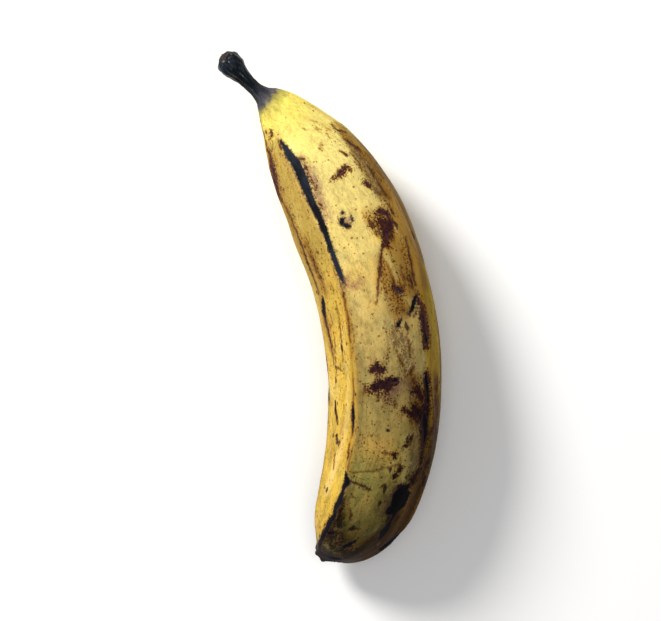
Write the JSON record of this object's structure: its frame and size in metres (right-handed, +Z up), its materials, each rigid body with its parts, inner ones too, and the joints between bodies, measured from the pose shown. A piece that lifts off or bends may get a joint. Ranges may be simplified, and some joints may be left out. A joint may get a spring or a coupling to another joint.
{
  "type": "plantain",
  "caption": "Ripe plantain lying on its side: a bent, ridged fruit with a slender dark stalk and a blunt dark blossom end.",
  "frame": {"origin": "on the surface that the fruit lies on, under the middle of its bounding box", "axes": "+Z up; +Y along the length, towards the stalk's end; +X towards the outside of the bend"},
  "size_m": [0.1034, 0.238, 0.0485],
  "materials": {
    "peel": "waxy satin peel, yellow to khaki, with brown and black bruises, freckles and a near-black stalk"
  },
  "bodies": {
    "root": {"plantain": "peel"}
  },
  "joints": []
}
